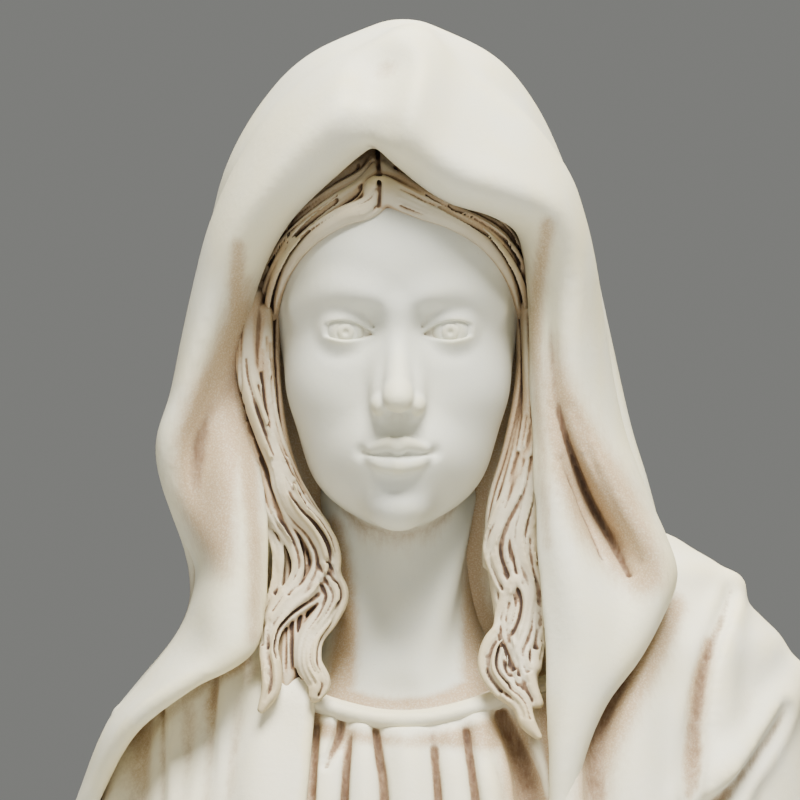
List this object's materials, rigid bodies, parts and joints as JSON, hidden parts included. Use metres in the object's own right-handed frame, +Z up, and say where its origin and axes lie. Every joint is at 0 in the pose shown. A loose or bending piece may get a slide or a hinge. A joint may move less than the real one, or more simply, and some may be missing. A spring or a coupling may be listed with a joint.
{
  "type": "madonna statue",
  "caption": "Standing robed and veiled woman with joined hands, in antiqued ivory cast stone, on a round moulded plinth.",
  "frame": {"origin": "on the ground under the middle of the plinth", "axes": "+Z up, the figure faces -Y, her left side is at +X"},
  "size_m": [0.336, 0.336, 1.2],
  "materials": {
    "face": "smooth matte cast stone, pale cool ivory",
    "hands": "smooth matte cast stone",
    "hair": "matte cast stone with brown wash in the grooves",
    "veil": "matte cast stone, warm ivory with brown wash in the folds",
    "mantle": "matte cast stone, warm ivory with brown wash in the folds",
    "gown": "matte cast stone, ivory with brown wash in the folds",
    "plinth": "matte cast stone, slightly weathered",
    "galvanised_plate": "galvanised",
    "primed_steel": "red oxide primer",
    "stainless_steel": "satin",
    "brass": "machined",
    "rubber": "moulded"
  },
  "bodies": {
    "root": {"plinth": "plinth", "base_plate": "galvanised_plate", "plate_screws": "stainless_steel", "anchor_inserts": "brass", "drain_grommets": "rubber", "mast_flange": "primed_steel", "flange_bolts": "stainless_steel", "mast_tube": "primed_steel", "mast_gussets": "primed_steel", "shoulder_crossbar": "primed_steel", "mast_cap": "primed_steel", "head_pin": "stainless_steel", "head_pin_nuts": "stainless_steel", "head_and_neck": "face", "hair_crown": "hair", "hair_right": "hair", "hair_left": "hair", "gown_skirt": "gown", "gown_bodice": "gown", "neckband": "gown", "sash": "gown", "sleeve_right": "gown", "sleeve_left": "gown", "hand_right": "hands", "hand_left": "hands", "hand_dowels": "stainless_steel", "mantle_body": "mantle", "mantle_shoulders": "mantle", "veil": "veil", "foot_right": "hands", "foot_left": "hands"}
  },
  "joints": []
}
